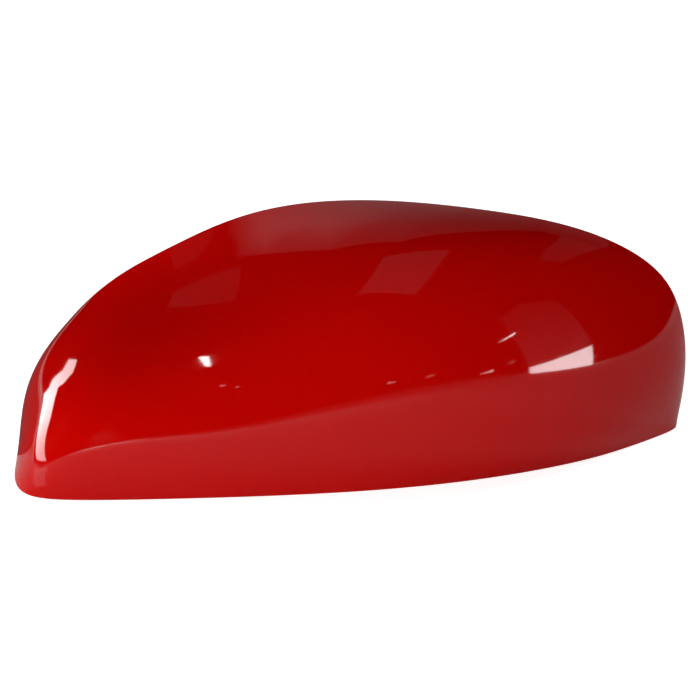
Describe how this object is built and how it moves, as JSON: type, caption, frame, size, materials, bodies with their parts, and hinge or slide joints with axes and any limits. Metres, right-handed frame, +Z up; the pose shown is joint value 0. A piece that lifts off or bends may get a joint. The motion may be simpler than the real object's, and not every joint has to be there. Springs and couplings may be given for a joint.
{
  "type": "wing mirror cover",
  "caption": "Glossy painted shell cover for a car wing mirror: domed front and top, blunt nose, tapered tip, open at the rear and below, with moulded snap hooks, pegs and ribs inside.",
  "frame": {"origin": "middle of the bounding box at the plane of the lower rim", "axes": "+X along the cover from the nose to the tip, +Y from the front to the open rear, +Z up"},
  "size_m": [0.204, 0.0606, 0.0732],
  "materials": {
    "painted_shell": "clear-coated solid red paint outside, bare dark moulding inside"
  },
  "bodies": {
    "root": {"mirror_cover": "painted_shell"}
  },
  "joints": []
}
